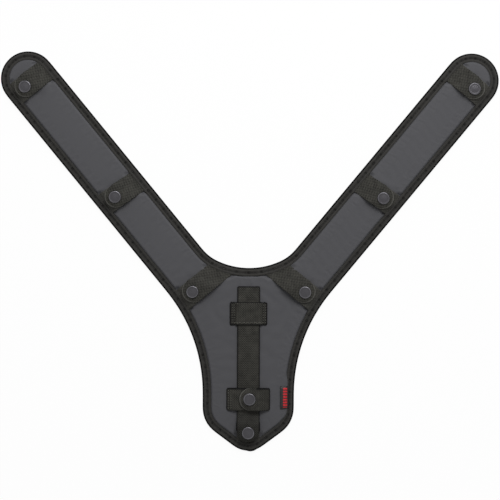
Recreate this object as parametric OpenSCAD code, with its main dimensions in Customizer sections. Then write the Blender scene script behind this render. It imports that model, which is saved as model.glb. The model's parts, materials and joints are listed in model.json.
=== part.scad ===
// Y-shaped padded harness yoke with snap-fastened webbing keepers.
// It lies on its lining: face side up (+Z), arms towards +Y, bottom tip towards -Y.
// "Rise" is the distance above the bottom tip, measured along Y.

/* [Outline] */
// Rise of the crotch, where the centrelines of the two arms meet
crotch_rise = 108.7; // [104:0.1:113]
// Distance from the crotch to the centre of an arm's round end
arm_len = 371; // [350:1:390]
// Radius of an arm's round end, which is half the arm's width
arm_r = 29; // [28:0.5:31]
// Lean of the arms away from the axis of symmetry
arm_lean = 39.5; // [38:0.5:41]
// Radius of the neck opening at its lowest point
neck_r = 79; // [75:1:84]
// Depth by which the arms' inner edges would cut into the neck opening's circle
neck_cut = 3.2; // [2:0.1:6]
// Radius where the neck opening turns into an arm
neck_corner_r = 43; // [39:1:47]
// Half of the width at the waist
waist_half = 48.5; // [47:0.5:52]
// Radius of the hollow side between waist and arm
flare_r = 170; // [155:5:185]
// Radius of the two lower corners
hip_r = 31; // [28:1:34]
// Radius of the bottom tip
tip_r = 25; // [23:1:28]
// Slope of the two lower edges above horizontal
vee_lean = 36.5; // [34:0.5:39]

/* [Padding] */
// Thickness of the padding between its flat faces
pad_t = 7; // [6:0.5:9]
// Thickness of the face fabric
face_t = 0.8; // [0.5:0.1:1.2]
// Thickness of the lining
lining_t = 0.8; // [0.5:0.1:1.2]
// Flat margin beside the binding before the padding swells
swell_start = 2; // [2:0.5:4]
// Width over which the padding swells to its full thickness
swell_w = 5; // [4:0.5:6]

/* [Edge binding] */
// Width of the binding tape on each face
binding_w = 8.5; // [7.5:0.5:9.5]
// Thickness of the binding tape
tape_t = 0.6; // [0.4:0.1:0.7]
// Thickness of the bound edge over the tape
edge_t = 4.6; // [4.4:0.2:5.4]
// Height of the bound edge above the resting face
edge_low = 0.3; // [0.1:0.1:0.6]
// Depth of the rounded fold at the edge
fold_r = 2; // [1.2:0.2:2.6]

/* [Webbing] */
// Width of all the webbing
web_w = 25; // [24:0.5:26]
// Thickness of the webbing
web_t = 1.4; // [1.1:0.1:1.6]
// Gap between a webbing layer and what it lies on
lay = 0.2; // [0.1:0.05:0.3]
// Gap at the root of a piece that folds open
hinge_gap = 0.4; // [0.3:0.1:0.8]

/* [Arm keepers] */
// Distance from the centre of an arm's round end back to the tip keeper
tip_keeper = 5.3; // [2:0.5:9]
// Distance from the centre of an arm's round end back to the middle keeper
mid_keeper = 156.5; // [140:0.5:170]
// Distance from the crotch to the base keeper, along the arm
base_keeper = 84.5; // [81:0.5:88]
// Turn of the middle keeper away from square across the arm
mid_turn = 4; // [0:0.5:6]
// Distance from a snap's centre to the arm's outer edge
snap_edge = 21.2; // [20.6:0.2:22]
// Length of a keeper tab past its snap, under the flap
tab_past = 11; // [8:0.5:13]
// Length of a keeper flap past its snap, to its round end
flap_past = 11.2; // [10.4:0.2:11.8]

/* [Snap fasteners] */
// Radius of the cap
cap_r = 6.75; // [6:0.25:7.5]
// Height of the cap above the webbing
cap_h = 2.2; // [1.8:0.1:3]
// Radius of the socket's flange
socket_r = 5.6; // [5.2:0.1:6]
// Height of the socket
socket_h = 1.9; // [1.8:0.1:2.4]
// Radius of the stud's head
stud_r = 3.1; // [2.8:0.1:3.3]
// Height of the stud
stud_h = 1.7; // [1.6:0.1:1.8]
// Radius of the stud's flange
stud_flange_r = 5; // [4.6:0.1:5.4]
// Radius of the tubes that rivet each half to its webbing
rivet_r = 1.6; // [1.4:0.1:1.8]
// Thickness of the fastener's sheet metal
metal_t = 0.3; // [0.25:0.05:0.35]
// Thickness of the flange below a stud
foot_t = 0.5; // [0.4:0.1:0.8]
// Diameter of the spring's wire
wire_d = 0.5; // [0.4:0.05:0.5]
// Clearance between stud and spring, and around the rivets
snap_fit = 0.2; // [0.15:0.05:0.3]
// Radius around a snap in which the webbing over it is level
level_r = 10; // [8:0.5:11]

/* [Centre strap] */
// Rise of the strap's upper end
strap_top_rise = 174.7; // [170:0.5:178]
// Radius of the strap's upper corners
strap_corner_r = 1.5; // [0.5:0.5:4]
// Distance from the strap's upper end down to the middle of the anchor patch
patch_drop = 28.7; // [24:0.1:34]
// Length of the anchor patch across the strap
patch_w = 40; // [36:1:46]
// Rise of the middle of the lower keeper
keeper_rise = 55.2; // [52:0.2:60]
// Distance from the axis to the lower keeper's tab seam
keeper_tab_side = 24.3; // [23.5:0.1:26]
// Distance from the axis to the lower keeper's flap seam
keeper_flap_side = 22.8; // [22:0.1:25]
// Distance of the lower keeper's snap from the axis
keeper_snap_x = 1.3; // [0:0.1:2]
// Gap between the lower keeper and the line at which the tail folds up
tail_gap = 1.5; // [1.25:0.25:3]
// Rise of the tail's snap
tail_snap_rise = 19.5; // [18.5:0.25:21]
// Length of the tail past its snap, to its round end
tail_past = 9.2; // [8:0.2:10]

/* [Edge label] */
// Length of the label along the edge
label_w = 24; // [18:1:30]
// Width of the label that shows
label_show = 5.8; // [4:0.2:6]
// Thickness of the label
label_t = 0.5; // [0.3:0.1:0.6]
// Rise of the middle of the label
label_rise = 57; // [50:1:68]

/* [Hidden] */

tip = 0;
mid = 1;
base = 2;
sides = [-1, 1];
$fn = 48;

chord_error = 0.1;        // largest error of an outline arc's chords
layer_gap = 0.1;          // between the glued layers
bend_steps = 10;          // facets of a bent sheet
swell_steps = 5;          // facets of the swelling beside the binding
fold_steps = 4;           // facets of the binding's fold
past_any = 60;            // longer than any keeper's reach

// Heights of the layers, from the resting face up
overall_len = crotch_rise + arm_len * cos(arm_lean) + arm_r;
edge_top = edge_low + edge_t;
rim_low = edge_low + tape_t + layer_gap;
rim_top = edge_top - tape_t - layer_gap;
hinge_z = rim_top + lay + web_t;

// Heights in a closed snap, above the top of the tab that holds the stud
socket_low = metal_t + snap_fit + 0.1;
socket_top = socket_low + socket_h;
cap_low = socket_top + web_t;

// Heights of the webbing around the snaps
tab_z = pad_t + lay + foot_t;
tab_top = tab_z + web_t;
flap_z = tab_top + socket_top;
strap_z = pad_t + lay;
strap_top = strap_z + web_t;
keeper_tab_z = strap_top + lay + foot_t;
keeper_tab_top = keeper_tab_z + web_t;
keeper_flap_z = keeper_tab_top + socket_top;
sky = keeper_flap_z + web_t + 2;

// Rise of the seam at which the strap's tail folds up
tail_seam_rise = keeper_rise - web_w / 2 - tail_gap;

function at(x, rise) = [x, rise - overall_len / 2];
function unit(a) = [cos(a), sin(a)];
function flip(p) = [-p.x, p.y];
function rest(v) = [for (i = [1 : len(v) - 1]) v[i]];
function reversed(v) = [for (i = [len(v) - 1 : -1 : 0]) v[i]];
function smooth(t) = t * t * (3 - 2 * t);

// Number of chords in an arc, which depends on its nominal radius only
function chords(nominal, sweep) = ceil(abs(sweep) / (2 * acos(1 - chord_error / nominal)));

function arc(c, nominal, r, a0, a1) =
    let (n = chords(nominal, a1 - a0))
    [for (i = [0 : n]) c + r * unit(a0 + (a1 - a0) * i / n)];

// Centres of the outline's arcs on the +X side
along_arm = unit(90 - arm_lean);
square_out = unit(-arm_lean);
crotch = at(0, crotch_rise);
arm_end = crotch + arm_len * along_arm;
tip_c = at(0, tip_r);
vee_square = unit(vee_lean - 90);
hip_x = waist_half - hip_r;
hip_c = [hip_x, tip_c.y + (hip_x * vee_square.x - tip_r + hip_r) / -vee_square.y];
flare_x = waist_half + flare_r;
flare_c = [
    flare_x,
    arm_end.y + (arm_r + flare_r - (flare_x - arm_end.x) * square_out.x) / square_out.y
];
neck_c = crotch + [0, (arm_r + neck_r - neck_cut) / sin(arm_lean)];
neck_turn = -arm_lean - acos((neck_r - neck_cut - neck_corner_r) / (neck_r - neck_corner_r));
neck_corner_c = neck_c + (neck_r - neck_corner_r) * unit(neck_turn);

// Half of the outline moved inward by an inset, from the bottom tip to the neck opening
function half_outline(inset) = concat(
    arc(tip_c, tip_r, tip_r - inset, -90, vee_lean - 90),
    arc(hip_c, hip_r, hip_r - inset, vee_lean - 90, 0),
    arc(flare_c, flare_r, flare_r + inset, 180, 180 - arm_lean),
    arc(arm_end, arm_r, arm_r - inset, -arm_lean, 180 - arm_lean),
    arc(neck_corner_c, neck_corner_r, neck_corner_r + inset, -arm_lean, neck_turn),
    rest(arc(neck_c, neck_r, neck_r + inset, neck_turn, -90))
);

// Whole outline, counter-clockwise from the bottom tip
function outline(inset) =
    let (half = half_outline(inset), n = len(half))
    concat(half, [for (i = [n - 2 : -1 : 1]) flip(half[i])]);

// Places in the outline: middle and end of the flare, start of the neck corner, neck's lowest point
flare_0 = chords(tip_r, vee_lean) + chords(hip_r, 90 - vee_lean) + 2;
flare_m = flare_0 + floor(chords(flare_r, arm_lean) / 2);
flare_1 = flare_0 + chords(flare_r, arm_lean);
corner_0 = flare_1 + chords(arm_r, 180) + 2;
lowest = len(half_outline(0)) - 1;
around = 2 * lowest;

// A flat cap as faces that each fan out from their first point, counter-clockwise from above
function right_cap() = [
    [for (i = [flare_1 : corner_0]) i],
    concat([corner_0], [for (i = [flare_m : flare_1]) i]),
    concat([flare_m], [for (i = [corner_0 : lowest]) i]),
    concat([lowest], [for (i = [0 : flare_m]) i])
];
function turned(face) = concat([face[0]], reversed(rest(face)));
function whole_cap() = concat(
    right_cap(),
    [for (face = right_cap()) turned([for (i = face) (around - i) % around])]
);

// Rows [inset, height] of a layer's surface from the rim to its flat middle
function layer_rows(rim_z, flat_z) = concat(
    [[fold_r, rim_z]],
    [for (i = [0 : swell_steps])
        [binding_w + swell_start + swell_w * i / swell_steps,
         rim_z + (flat_z - rim_z) * smooth(i / swell_steps)]]
);

// Closed solid through rows [inset, height]: a capped layer, or a ring
module loft(rows, ring = false) {
    m = len(rows);
    spans = ring ? m - 1 : m - 2;
    skin = [for (j = [0 : spans], i = [0 : around - 1])
        let (a = j * around, b = (j + 1) % m * around, k = (i + 1) % around)
        each [[a + i, b + i, b + k], [a + i, b + k, a + k]]];
    caps = ring ? [] : concat(
        whole_cap(),
        [for (face = whole_cap()) turned([for (i = face) i + (m - 1) * around])]
    );
    polyhedron([for (row = rows, p = outline(row[0])) [p.x, p.y, row[1]]], concat(skin, caps));
}

module layer(rim_z0, flat_z0, rim_z1, flat_z1) {
    loft(concat(reversed(layer_rows(rim_z0, flat_z0)), layer_rows(rim_z1, flat_z1)));
}

module lining() {
    color("#2c2c2e") layer(rim_low, 0, rim_low + lining_t, lining_t);
}

module foam_core() {
    color("#3a3a3c") layer(
        rim_low + lining_t + layer_gap, lining_t + layer_gap,
        rim_top - face_t - layer_gap, pad_t - face_t - layer_gap
    );
}

module face_fabric() {
    color("#4f4f53") layer(rim_top - face_t, pad_t - face_t, rim_top, pad_t);
}

// Half of the fold's section, from its lower leaf round to its upper leaf
function fold_rows(wall) = [for (i = [0 : fold_steps])
    let (a = 180 * i / fold_steps - 90)
    [fold_r - (fold_r - wall) * cos(a), edge_low + edge_t / 2 + (edge_t / 2 - wall) * sin(a)]];

// Tape folded over the rim of all three layers
module edge_binding() {
    color("#353330") loft(concat(
        [[binding_w, edge_low]], fold_rows(0), [[binding_w, edge_top]],
        [[binding_w, edge_top - tape_t]], reversed(fold_rows(tape_t)), [[binding_w, edge_low + tape_t]]
    ), ring = true);
}

// Section of a sheet that bends up from its root: [distance from the root, height]
function bend(rise_w, z0, z1, t = web_t, flat = 0) =
    let (low = concat(
        [for (i = [0 : bend_steps]) [rise_w * i / bend_steps, z0 + (z1 - z0) * sin(90 * i / bend_steps)]],
        flat > 0 ? [[rise_w + flat, z1]] : []
    ))
    concat(low, [for (p = reversed(low)) p + [0, t]]);

// Extrudes a section both ways along a fold line through foot, square to the direction turn
module along_fold(foot, turn, w = 4 * web_w) {
    translate([foot.x, foot.y, 0]) rotate([90, 0, turn])
        linear_extrude(height = w, center = true) children();
}

module inside_edge(inset) {
    linear_extrude(height = sky) polygon(outline(inset));
}

// Hole in the webbing for a snap's rivet
module rivet_hole(p) {
    translate([p.x, p.y, 0]) cylinder(h = sky, r = rivet_r + snap_fit / 2);
}

// Arm keepers, described on the +X side
function keeper_at(k) = [arm_len - tip_keeper, arm_len - mid_keeper, base_keeper][k];
function keeper_turn(k) = 180 - arm_lean + (k == mid ? mid_turn : 0);
function on_arm(k, out) = crotch + keeper_at(k) * along_arm + out * square_out;
function snap_at(k) = on_arm(k, arm_r - snap_edge);

// First point where a line from p in direction d meets a circle from inside the padding
function meets(p, d, c, r) =
    let (v = p - c, b = v * d)
    p + (-b - sqrt(b * b - v * v + r * r)) * d;

// Point on an edge of a keeper beside its snap; side 1 is the left edge, seen from its round end
function keeper_edge(k, side) =
    let (d = unit(keeper_turn(k))) snap_at(k) + side * web_w / 2 * [-d.y, d.x];

// Where a keeper's edge meets the binding at the neck opening
function neck_root(k, side) =
    let (d = unit(keeper_turn(k)), p = keeper_edge(k, side), inset = binding_w + hinge_gap,
         q = meets(p, d, neck_corner_c, neck_corner_r + inset),
         v = q - neck_corner_c)
    atan2(v.y, v.x) > neck_turn ? q : meets(p, d, neck_c, neck_r + inset);

// Two points of the line at which a flap folds up, the one nearer the arm's end first
function flap_line(k) = k == base
    ? [neck_root(k, -1), neck_root(k, 1)]
    : let (p = on_arm(k, binding_w + hinge_gap - arm_r)) [p, p - along_arm];

// Two points of a tab's seam, the one nearer the arm's end last
function tab_line(k) = k == base
    ? [for (side = [1, -1]) meets(
        keeper_edge(k, side), -unit(keeper_turn(k)), flare_c, flare_r + binding_w + lay)]
    : let (p = on_arm(k, arm_r - binding_w - lay)) [p, p + along_arm];

// Direction from a line into the padding, and the distance of a keeper's snap from the line
function line_turn(line) = let (v = line[1] - line[0]) atan2(v.y, v.x) + 90;
function line_reach(k, line) = (snap_at(k) - line[0]) * unit(line_turn(line));

// Plan of a webbing strip with a round end past its snap, running towards +X
module round_strip(past) {
    translate([web_w / 2 - past, 0]) circle(d = web_w);
    translate([web_w / 2 - past, -web_w / 2]) square([past_any, web_w]);
}

module right_flap(k) {
    p = snap_at(k);
    line = flap_line(k);
    difference() {
        intersection() {
            translate([p.x, p.y, 0]) rotate(keeper_turn(k)) linear_extrude(height = sky)
                round_strip(flap_past);
            along_fold(line[0], line_turn(line))
                polygon(bend(line_reach(k, line) - level_r, hinge_z - web_t, flap_z, flat = 2 * web_w));
            inside_edge(binding_w + hinge_gap);
        }
        rivet_hole(p);
    }
}

module right_tab(k) {
    p = snap_at(k);
    line = tab_line(k);
    rise_w = line_reach(k, line) - stud_flange_r;
    difference() {
        intersection() {
            translate([p.x, p.y, 0]) rotate(keeper_turn(k)) linear_extrude(height = sky)
                translate([tab_past - past_any, -web_w / 2]) square([past_any, web_w]);
            along_fold(line[0], line_turn(line))
                polygon(bend(rise_w, rim_top + lay, tab_z, flat = 2 * web_w));
            inside_edge(binding_w + lay);
        }
        rivet_hole(p);
    }
}

// Shows a piece of the +X side there, or mirrored on the -X side
module on_side(side) {
    mirror([side < 0 ? 1 : 0, 0, 0]) children();
}

module arm_flap(side, k) {
    color("#3a3934") on_side(side) right_flap(k);
}

module arm_tab(side, k) {
    color("#34332f") on_side(side) right_tab(k);
}

// Strap down the middle, from above the anchor patch to the tail's seam
module centre_strap() {
    top = at(0, strap_top_rise).y;
    low = at(0, tail_seam_rise + hinge_gap).y;
    half = web_w / 2;
    corner = strap_corner_r;
    color("#3a3934") translate([0, 0, strap_z]) linear_extrude(height = web_t) {
        translate([-half, low]) square([web_w, top - corner - low]);
        translate([corner - half, low]) square([web_w - 2 * corner, top - low]);
        for (s = sides) translate([s * (half - corner), top - corner]) circle(r = corner);
    }
}

// Short webbing across the strap, sewn to the face on both sides of it
module anchor_patch() {
    over = web_w / 2 + lay;
    foot = over + web_t;
    low = [
        [-patch_w / 2, strap_z], [-foot, strap_z], [-over, strap_top + lay],
        [over, strap_top + lay], [foot, strap_z], [patch_w / 2, strap_z]
    ];
    color("#34332f") along_fold(at(0, strap_top_rise - patch_drop), 0, web_w)
        polygon(concat(low, [for (p = reversed(low)) p + [0, web_t]]));
}

// Lower end of the strap, which folds up about its seam below the lower keeper
module strap_tail() {
    seam = at(0, tail_seam_rise);
    snap = at(0, tail_snap_rise);
    reach = seam.y - snap.y;
    color("#3a3934") difference() {
        intersection() {
            translate([snap.x, snap.y, 0]) rotate(90) linear_extrude(height = sky)
                round_strip(tail_past);
            along_fold(seam, -90)
                polygon(bend(reach - level_r, strap_z, flap_z, flat = 2 * web_w));
        }
        rivet_hole(snap);
    }
}

module tail_tab() {
    seam = at(0, binding_w + lay);
    snap = at(0, tail_snap_rise);
    reach = snap.y - seam.y;
    color("#34332f") difference() {
        intersection() {
            translate([-web_w / 2, seam.y, 0]) cube([web_w, reach + tab_past, sky]);
            along_fold(seam, 90)
                polygon(bend(reach - stud_flange_r, rim_top + lay, tab_z, flat = 2 * web_w));
            inside_edge(binding_w + lay);
        }
        rivet_hole(snap);
    }
}

module lower_keeper_flap() {
    seam = at(keeper_flap_side, keeper_rise);
    snap = at(keeper_snap_x, keeper_rise);
    reach = seam.x - snap.x;
    color("#3a3934") difference() {
        intersection() {
            translate([snap.x, snap.y, 0]) linear_extrude(height = sky) round_strip(flap_past);
            along_fold(seam, 180)
                polygon(bend(reach - level_r, strap_z, keeper_flap_z, flat = 2 * web_w));
        }
        rivet_hole(snap);
    }
}

module lower_keeper_tab() {
    seam = at(-keeper_tab_side, keeper_rise);
    snap = at(keeper_snap_x, keeper_rise);
    reach = snap.x - seam.x;
    clear = keeper_tab_side - web_w / 2 - 3 * lay;
    color("#34332f") difference() {
        intersection() {
            translate([seam.x, seam.y - web_w / 2, 0]) cube([reach + tab_past - web_t, web_w, sky]);
            along_fold(seam, 0)
                polygon(bend(clear, strap_z, keeper_tab_z, flat = 2 * web_w));
        }
        rivet_hole(snap);
    }
}

// Folded label whose fixed edge is caught beside the binding
module edge_label() {
    seam = at(waist_half - binding_w - lay, label_rise);
    color("#1c1b1b") along_fold(seam, 180, label_w)
        polygon(bend(label_show, rim_top + lay, strap_z, label_t));
}

// Snap fastener, closed; heights count from the top of the webbing that holds the stud

// Cap with its rivet, turned over below the socket's roof
module snap_cap() {
    roof = socket_top - metal_t;
    color("#5c5b60") rotate_extrude() polygon([
        [0, cap_low + metal_t], [rivet_r - metal_t, cap_low + metal_t],
        [rivet_r - metal_t, roof - metal_t], [rivet_r + metal_t, roof - metal_t],
        [rivet_r + metal_t, roof], [rivet_r, roof], [rivet_r, cap_low],
        [cap_r - metal_t, cap_low], [cap_r, cap_low + metal_t],
        for (a = [0 : 15 : 75])
            [cap_r - cap_h / 2 * (1 - cos(a)),
             cap_low + 2 * metal_t + (cap_h * 0.8 - 2 * metal_t) * sin(a)],
        for (t = [0.75, 0.5, 0.25, 0])
            [(cap_r - cap_h / 2) * t, cap_low + cap_h * (1 - 0.2 * t * t)]
    ]);
}

// Cup with an inward lip that holds the spring
module snap_socket() {
    lip_r = stud_r + snap_fit;
    cup_r = lip_r + metal_t + wire_d + metal_t;
    roof = socket_top - metal_t;
    color("#2f2f31") rotate_extrude() polygon([
        [rivet_r + snap_fit / 4, roof], [rivet_r + snap_fit / 4, socket_top], [socket_r, socket_top],
        [socket_r, roof], [cup_r, roof], [cup_r, socket_low + metal_t], [cup_r - metal_t, socket_low],
        [lip_r, socket_low], [lip_r, socket_low + metal_t],
        [cup_r - metal_t, socket_low + metal_t], [cup_r - metal_t, roof]
    ]);
}

// Split wire ring that lies on the socket's lip and grips the stud below its head
module snap_spring() {
    gap_turn = 24;
    color("#8d8d92") translate([0, 0, socket_low + metal_t + wire_d / 2 + 0.02])
        rotate(gap_turn / 2) rotate_extrude(angle = 360 - gap_turn)
            translate([stud_r + snap_fit + wire_d / 2, 0]) circle(d = wire_d, $fn = 16);
}

module snap_stud() {
    wall = 1.2 * metal_t;
    neck_r = stud_r - wall;
    color("#39393b") rotate_extrude() polygon([
        [rivet_r + snap_fit / 4, 0], [stud_flange_r, 0], [stud_flange_r, metal_t / 2],
        [stud_flange_r - metal_t / 2, metal_t], [neck_r, metal_t], [neck_r, stud_h * 0.45],
        [stud_r, stud_h * 0.6], [stud_r, stud_h * 0.8], [neck_r, stud_h],
        [neck_r - wall, stud_h], [neck_r - wall, metal_t], [rivet_r + snap_fit / 4, metal_t]
    ]);
}

// Tube from a foot below the webbing, turned over inside the stud
module stud_rivet() {
    foot = -web_t - foot_t;
    color("#39393b") rotate_extrude() polygon([
        [rivet_r - metal_t, foot], [stud_flange_r - metal_t, foot],
        [stud_flange_r - metal_t, foot + metal_t], [rivet_r + metal_t, -web_t], [rivet_r, -web_t],
        [rivet_r, metal_t], [rivet_r + metal_t, metal_t], [rivet_r + metal_t, 2 * metal_t],
        [rivet_r - metal_t, 2 * metal_t]
    ]);
}

module at_arm_snap(side, k) {
    p = snap_at(k);
    on_side(side) translate([p.x, p.y, tab_top]) children();
}

module at_keeper_snap() {
    p = at(keeper_snap_x, keeper_rise);
    translate([p.x, p.y, keeper_tab_top]) children();
}

module at_tail_snap() {
    p = at(0, tail_snap_rise);
    translate([p.x, p.y, tab_top]) children();
}

module stud_rivets() {
    for (side = sides, k = [tip, mid, base]) at_arm_snap(side, k) stud_rivet();
    at_keeper_snap() stud_rivet();
    at_tail_snap() stud_rivet();
}

face_fabric();
foam_core();
lining();
edge_binding();
arm_flap(-1, tip);  // flap_left_tip
arm_flap(-1, mid);  // flap_left_mid
arm_flap(-1, base);  // flap_left_base
arm_flap(1, tip);  // flap_right_tip
arm_flap(1, mid);  // flap_right_mid
arm_flap(1, base);  // flap_right_base
arm_tab(-1, tip);  // tab_left_tip
arm_tab(-1, mid);  // tab_left_mid
arm_tab(-1, base);  // tab_left_base
arm_tab(1, tip);  // tab_right_tip
arm_tab(1, mid);  // tab_right_mid
arm_tab(1, base);  // tab_right_base
centre_strap();
anchor_patch();
strap_tail();
tail_tab();
lower_keeper_flap();
lower_keeper_tab();
edge_label();
at_arm_snap(-1, tip) snap_cap();  // cap_left_tip
at_arm_snap(-1, mid) snap_cap();  // cap_left_mid
at_arm_snap(-1, base) snap_cap();  // cap_left_base
at_arm_snap(1, tip) snap_cap();  // cap_right_tip
at_arm_snap(1, mid) snap_cap();  // cap_right_mid
at_arm_snap(1, base) snap_cap();  // cap_right_base
at_keeper_snap() snap_cap();  // cap_lower_keeper
at_tail_snap() snap_cap();  // cap_tail
at_arm_snap(-1, tip) snap_socket();  // socket_left_tip
at_arm_snap(-1, mid) snap_socket();  // socket_left_mid
at_arm_snap(-1, base) snap_socket();  // socket_left_base
at_arm_snap(1, tip) snap_socket();  // socket_right_tip
at_arm_snap(1, mid) snap_socket();  // socket_right_mid
at_arm_snap(1, base) snap_socket();  // socket_right_base
at_keeper_snap() snap_socket();  // socket_lower_keeper
at_tail_snap() snap_socket();  // socket_tail
at_arm_snap(-1, tip) snap_spring();  // spring_left_tip
at_arm_snap(-1, mid) snap_spring();  // spring_left_mid
at_arm_snap(-1, base) snap_spring();  // spring_left_base
at_arm_snap(1, tip) snap_spring();  // spring_right_tip
at_arm_snap(1, mid) snap_spring();  // spring_right_mid
at_arm_snap(1, base) snap_spring();  // spring_right_base
at_keeper_snap() snap_spring();  // spring_lower_keeper
at_tail_snap() snap_spring();  // spring_tail
at_arm_snap(-1, tip) snap_stud();  // stud_left_tip
at_arm_snap(-1, mid) snap_stud();  // stud_left_mid
at_arm_snap(-1, base) snap_stud();  // stud_left_base
at_arm_snap(1, tip) snap_stud();  // stud_right_tip
at_arm_snap(1, mid) snap_stud();  // stud_right_mid
at_arm_snap(1, base) snap_stud();  // stud_right_base
at_keeper_snap() snap_stud();  // stud_lower_keeper
at_tail_snap() snap_stud();  // stud_tail
stud_rivets();
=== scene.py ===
import bpy
import json
import numpy as np
from math import cos, exp, pi, radians, sin, sqrt
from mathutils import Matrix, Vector, kdtree, noise
from mathutils.geometry import delaunay_2d_cdt
from numpy.linalg import norm


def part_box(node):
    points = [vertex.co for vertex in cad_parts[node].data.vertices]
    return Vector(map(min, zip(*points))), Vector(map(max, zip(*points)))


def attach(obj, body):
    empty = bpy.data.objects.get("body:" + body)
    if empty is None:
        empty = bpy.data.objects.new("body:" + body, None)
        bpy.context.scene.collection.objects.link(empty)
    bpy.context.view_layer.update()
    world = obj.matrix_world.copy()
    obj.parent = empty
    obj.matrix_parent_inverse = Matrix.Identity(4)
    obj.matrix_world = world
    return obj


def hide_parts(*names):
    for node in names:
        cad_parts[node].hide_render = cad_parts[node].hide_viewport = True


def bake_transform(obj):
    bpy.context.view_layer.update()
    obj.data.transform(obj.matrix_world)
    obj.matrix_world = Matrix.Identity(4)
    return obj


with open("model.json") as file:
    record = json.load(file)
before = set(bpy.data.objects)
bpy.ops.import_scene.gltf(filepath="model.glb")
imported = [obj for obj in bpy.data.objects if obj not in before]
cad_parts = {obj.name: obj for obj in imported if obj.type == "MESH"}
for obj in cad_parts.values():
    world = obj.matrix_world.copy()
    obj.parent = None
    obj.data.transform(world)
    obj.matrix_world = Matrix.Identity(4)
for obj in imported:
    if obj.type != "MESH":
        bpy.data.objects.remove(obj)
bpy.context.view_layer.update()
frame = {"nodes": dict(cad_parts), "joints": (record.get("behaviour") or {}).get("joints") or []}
joints = {joint["name"]: joint for joint in frame["joints"]}
mm = 0.001


def inMm(**sizes):  # a dictionary of sizes, which are written in mm
    return {key: size * mm for key, size in sizes.items()}


print("frame loaded")

# camera, lamps and floor, in metres and degrees

camera = dict(height=3.2, viewWidth=0.5313, roll=0.28, aimX=0.0011, aimY=0.0017)
light = dict(
    keyPlace=(0.20, 0.77, 1), keySize=0.7, keyPower=11.5,
    skyLow=0.31, skyHigh=0.57,  # overhead, and low down on the key's side
    skyFrom=-0.2, skyTo=0.9,  # where the one turns into the other
    floorColour="f8f8f8", floorGlow=0.95, floorReach=6, floorDrop=0.0003)


def srgb(code):  # hex colour to the linear values that sockets take
    parts = [int(code[i:i + 2], 16) / 255 for i in (0, 2, 4)]
    return [*(c / 12.92 if c <= 0.04045 else ((c + 0.055) / 1.055) ** 2.4 for c in parts), 1]


def setInputs(node, inputs):  # sets constants and hex colours, links nodes and sockets
    for key, value in inputs.items():
        if isinstance(value, str):
            value = srgb(value)
        if isinstance(value, bpy.types.Node):
            value = next(socket for socket in value.outputs if socket.enabled)
        if isinstance(value, bpy.types.NodeSocket):
            node.id_data.links.new(value, node.inputs[key])
        else:
            node.inputs[key].default_value = value


def addNode(tree, kind, inputs=None, stops=None, **settings):  # stops: a ramp's places and greys
    node = tree.nodes.new("ShaderNode" + kind)
    for key, value in settings.items():
        setattr(node, key, value)
    setInputs(node, inputs or {})
    for index, (place, grey) in enumerate(stops or ()):
        band = node.color_ramp.elements
        element = band[index] if index < len(band) else band.new(place)
        element.position = place
        element.color = (grey, grey, grey, 1)
    return node


def newObject(name, data):
    item = bpy.data.objects.new(name, data)
    bpy.context.scene.collection.objects.link(item)
    return item


def makeCamera():
    data = bpy.data.cameras.new("overheadCamera")
    data.sensor_width = 36
    data.lens = data.sensor_width * camera["height"] / camera["viewWidth"]
    item = newObject("overheadCamera", data)
    item.location = (camera["aimX"], camera["aimY"], camera["height"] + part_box("face_fabric")[1].z)
    item.rotation_euler = (0, 0, radians(camera["roll"]))
    bpy.context.scene.camera = item


def seenDirectly(tree):  # 1 for camera, mirror and glass rays, which all see the white backdrop
    path = addNode(tree, "LightPath")
    seen = addNode(tree, "Math", {
        0: path.outputs["Is Camera Ray"], 1: path.outputs["Is Glossy Ray"]}, operation="ADD")
    return addNode(tree, "Math", {
        0: seen, 1: path.outputs["Is Transmission Ray"]}, operation="ADD", use_clamp=True)


def makeLights():
    data = bpy.data.lights.new("keyLight", "AREA")
    data.size = light["keySize"]
    data.energy = light["keyPower"]
    item = newObject("keyLight", data)
    item.location = light["keyPlace"]
    item.rotation_euler = (-Vector(light["keyPlace"])).to_track_quat("-Z", "Y").to_euler()
    world = bpy.data.worlds.new("studioWorld")
    bpy.context.scene.world = world
    world.use_nodes = True
    tree = world.node_tree
    tree.nodes.clear()
    view = addNode(tree, "TexCoord").outputs["Generated"]
    toward = addNode(tree, "SeparateXYZ", {0: view})
    side = addNode(tree, "MapRange", {
        "Value": toward.outputs["Y"], "From Min": light["skyFrom"], "From Max": light["skyTo"],
        "To Min": light["skyLow"], "To Max": light["skyHigh"]}, interpolation_type="SMOOTHSTEP")
    strength = addNode(tree, "Mix", {0: seenDirectly(tree), 2: side, 3: 1})
    glow = addNode(tree, "Background", {"Color": (1, 1, 1, 1), "Strength": strength})
    addNode(tree, "OutputWorld", {"Surface": glow})


def makeFloor():
    mesh = bpy.data.meshes.new("studioFloor")
    corners = [(x * light["floorReach"], y * light["floorReach"], -light["floorDrop"])
               for x, y in ((-1, -1), (1, -1), (1, 1), (-1, 1))]
    mesh.from_pydata(corners, [], [(0, 1, 2, 3)])
    item = newObject("studioFloor", mesh)
    paper = bpy.data.materials.new("whitePaper")  # white seamless paper that keeps a faint shadow
    paper.use_nodes = True
    tree = paper.node_tree
    tree.nodes.clear()
    seen = addNode(tree, "Math", {
        0: seenDirectly(tree), 1: light["floorGlow"]}, operation="MULTIPLY")
    matt = addNode(tree, "BsdfDiffuse", {"Color": light["floorColour"]})
    both = addNode(tree, "MixShader", {0: seen, 1: matt, 2: addNode(tree, "Emission")})
    addNode(tree, "OutputMaterial", {"Surface": both})
    mesh.materials.append(paper)


bpy.context.scene.view_settings.view_transform = "Standard"
makeCamera()
makeLights()
makeFloor()
print("camera, lamps and floor made")

# materials: sizes in mm, noise in spots per metre

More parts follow.
